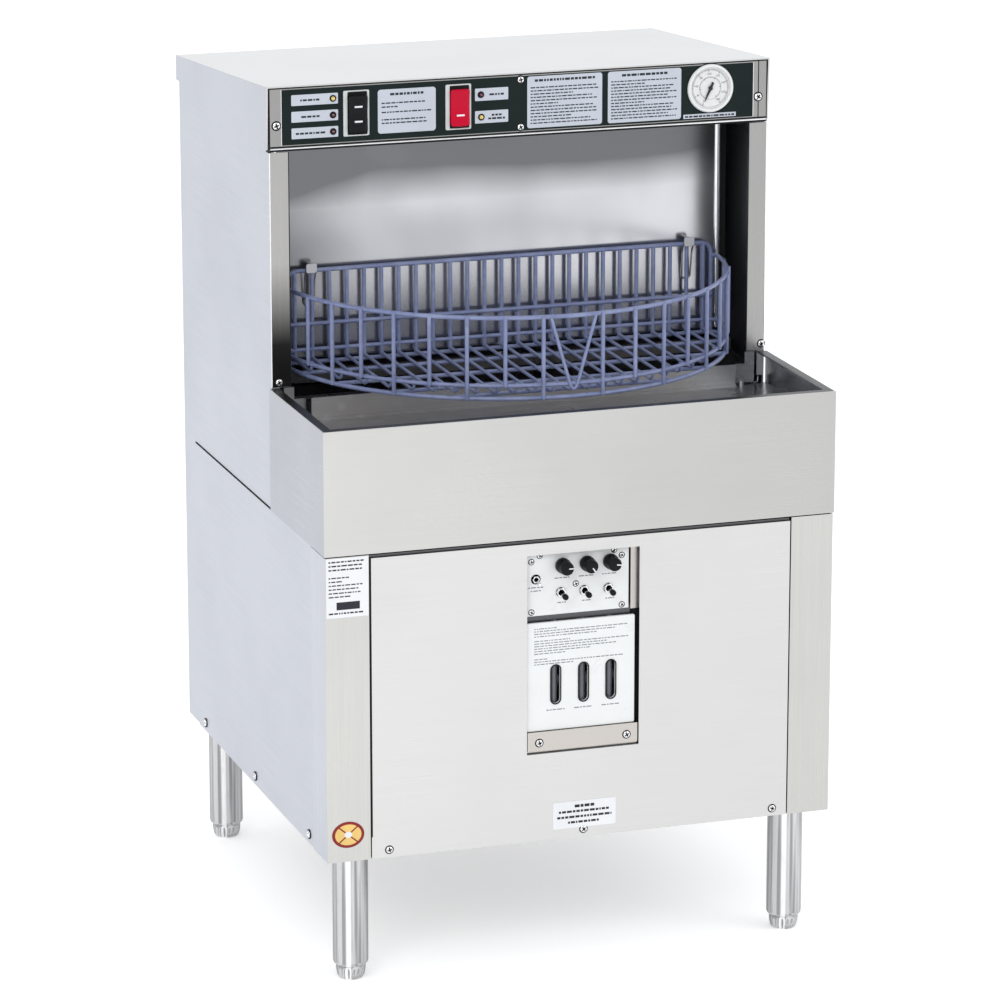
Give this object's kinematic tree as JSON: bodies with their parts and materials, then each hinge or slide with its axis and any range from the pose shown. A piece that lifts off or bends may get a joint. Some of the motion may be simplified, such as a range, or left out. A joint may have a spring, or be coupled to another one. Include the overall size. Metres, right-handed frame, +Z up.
{
  "type": "rotary glass washer",
  "caption": "Under-counter rotary glass washer: steel cabinet on adjustable legs, turning divider with half-round wire baskets, open drip box and dosing window.",
  "frame": {"origin": "on the floor, at the middle of the square footprint", "axes": "+Z up, -Y to the front (loading side), +X to the right of a person facing the front"},
  "size_m": [0.61, 0.634, 1.003],
  "materials": {
    "cabinet_steel": "fine vertical brushed grain",
    "inner_steel": "dull wet-area steel",
    "polished_steel": "polished",
    "black_plastic": "moulded",
    "red_plastic": "glossy",
    "white_plastic": "moulded",
    "grey_plastic": "moulded",
    "coated_wire": "vinyl dip coating",
    "seal_rubber": "matt",
    "motor_paint": "satin"
  },
  "bodies": {
    "root": {"leg_front_left": "polished_steel", "leg_front_right": "polished_steel", "leg_rear_left": "polished_steel", "leg_rear_right": "polished_steel", "corner_post_left": "cabinet_steel", "corner_post_right": "cabinet_steel", "lower_side_left": "cabinet_steel", "lower_side_right": "cabinet_steel", "lower_rear_panel": "cabinet_steel", "access_panel": "cabinet_steel", "drip_box": "cabinet_steel", "cabinet_side_left": "cabinet_steel", "cabinet_side_right": "cabinet_steel", "cabinet_rear": "cabinet_steel", "top_cover": "cabinet_steel", "control_housing": "cabinet_steel", "dispenser_box": "cabinet_steel", "control_plate": "cabinet_steel", "dispenser_plate": "cabinet_steel", "base_pan": "inner_steel", "drip_tray": "inner_steel", "lower_bearing_rail": "inner_steel", "upper_bearing_bridge": "inner_steel", "wash_tank": "inner_steel", "riser_pipe": "inner_steel", "upper_spray_pipe": "inner_steel", "lower_spray_pipe": "inner_steel", "power_bezel": "white_plastic", "start_bezel": "white_plastic", "gauge_case": "polished_steel", "drain_standpipe": "grey_plastic", "pump_volute": "grey_plastic", "pump_motor": "motor_paint", "fill_valve": "white_plastic", "tube_cover": "white_plastic"},
    "rotor": {"divider_panel": "cabinet_steel", "divider_seal": "seal_rubber", "basket_front_floor": "coated_wire", "basket_front_guard": "coated_wire", "basket_rear_floor": "coated_wire", "basket_rear_guard": "coated_wire"},
    "power_rocker": {"power_rocker": "black_plastic"},
    "start_rocker": {"start_rocker": "red_plastic"},
    "gauge_needle": {"gauge_needle": "black_plastic"},
    "pump_impeller": {"pump_impeller": "grey_plastic"},
    "level_float": {"level_float": "white_plastic"},
    "mode_toggle": {"mode_toggle": "polished_steel"},
    "foot_front_left": {"foot_front_left": "polished_steel"},
    "foot_front_right": {"foot_front_right": "polished_steel"},
    "foot_rear_left": {"foot_rear_left": "polished_steel"},
    "foot_rear_right": {"foot_rear_right": "polished_steel"},
    "dose_knob_1": {"dose_knob_1": "black_plastic"},
    "prime_toggle_1": {"prime_toggle_1": "polished_steel"},
    "dosing_roller_1": {"dosing_roller_1": "grey_plastic"},
    "dose_knob_2": {"dose_knob_2": "black_plastic"},
    "prime_toggle_2": {"prime_toggle_2": "polished_steel"},
    "dosing_roller_2": {"dosing_roller_2": "grey_plastic"},
    "dose_knob_3": {"dose_knob_3": "black_plastic"},
    "prime_toggle_3": {"prime_toggle_3": "polished_steel"},
    "dosing_roller_3": {"dosing_roller_3": "grey_plastic"}
  },
  "joints": [
    {"name": "rotor_turn", "type": "hinge", "parent": "root", "child": "rotor", "pos_m": [0, 0, 0.8], "axis": [0, 0, 1], "continuous": true},
    {"name": "power_rocker_tilt", "type": "hinge", "parent": "root", "child": "power_rocker", "pos_m": [-0.1965, -0.08, 0.967], "axis": [1, 0, 0], "range_deg": [-8, 8]},
    {"name": "start_rocker_press", "type": "hinge", "parent": "root", "child": "start_rocker", "pos_m": [-0.075, -0.08, 0.967], "axis": [1, 0, 0], "range_deg": [0, 8], "stiffness_Nm_per_rad": 0.5},
    {"name": "gauge_needle_swing", "type": "hinge", "parent": "root", "child": "gauge_needle", "pos_m": [0.23, -0.0905, 0.9714], "axis": [0, 1, 0], "range_deg": [0, 300], "stiffness_Nm_per_rad": 0.0005},
    {"name": "dose_knob_1_turn", "type": "hinge", "parent": "root", "child": "dose_knob_1", "pos_m": [-0.0227, -0.307, 0.476], "axis": [0, 1, 0], "range_deg": [-240, 60]},
    {"name": "dose_knob_2_turn", "type": "hinge", "parent": "root", "child": "dose_knob_2", "pos_m": [0.0065, -0.307, 0.476], "axis": [0, 1, 0], "range_deg": [-300, 0]},
    {"name": "dose_knob_3_turn", "type": "hinge", "parent": "root", "child": "dose_knob_3", "pos_m": [0.0345, -0.307, 0.476], "axis": [0, 1, 0], "range_deg": [-240, 60]},
    {"name": "prime_toggle_1_flip", "type": "hinge", "parent": "root", "child": "prime_toggle_1", "pos_m": [-0.024, -0.296, 0.444], "axis": [1, 0, 0], "range_deg": [-24, 0], "stiffness_Nm_per_rad": 0.1},
    {"name": "prime_toggle_2_flip", "type": "hinge", "parent": "root", "child": "prime_toggle_2", "pos_m": [0.004, -0.296, 0.444], "axis": [1, 0, 0], "range_deg": [-24, 0], "stiffness_Nm_per_rad": 0.1},
    {"name": "prime_toggle_3_flip", "type": "hinge", "parent": "root", "child": "prime_toggle_3", "pos_m": [0.033, -0.296, 0.444], "axis": [1, 0, 0], "range_deg": [-24, 0], "stiffness_Nm_per_rad": 0.1},
    {"name": "mode_toggle_flip", "type": "hinge", "parent": "root", "child": "mode_toggle", "pos_m": [-0.0539, -0.296, 0.4615], "axis": [1, 0, 0], "range_deg": [-22, 0]},
    {"name": "foot_front_left_level", "type": "slide", "parent": "root", "child": "foot_front_left", "axis": [0, 0, 1], "range_m": [-0.025, 0]},
    {"name": "foot_front_right_level", "type": "slide", "parent": "root", "child": "foot_front_right", "axis": [0, 0, 1], "range_m": [-0.025, 0]},
    {"name": "foot_rear_left_level", "type": "slide", "parent": "root", "child": "foot_rear_left", "axis": [0, 0, 1], "range_m": [-0.025, 0]},
    {"name": "foot_rear_right_level", "type": "slide", "parent": "root", "child": "foot_rear_right", "axis": [0, 0, 1], "range_m": [-0.025, 0]},
    {"name": "pump_impeller_spin", "type": "hinge", "parent": "root", "child": "pump_impeller", "pos_m": [0.04, 0.15, 0.45], "axis": [0, 0, 1], "continuous": true},
    {"name": "dosing_roller_1_spin", "type": "hinge", "parent": "root", "child": "dosing_roller_1", "pos_m": [-0.0335, -0.278, 0.337], "axis": [0, 1, 0], "continuous": true},
    {"name": "dosing_roller_2_spin", "type": "hinge", "parent": "root", "child": "dosing_roller_2", "pos_m": [0, -0.278, 0.337], "axis": [0, 1, 0], "continuous": true},
    {"name": "dosing_roller_3_spin", "type": "hinge", "parent": "root", "child": "dosing_roller_3", "pos_m": [0.033, -0.278, 0.337], "axis": [0, 1, 0], "continuous": true},
    {"name": "level_float_rise", "type": "slide", "parent": "root", "child": "level_float", "axis": [0, 0, 1], "range_m": [-0.03, 0]}
  ]
}
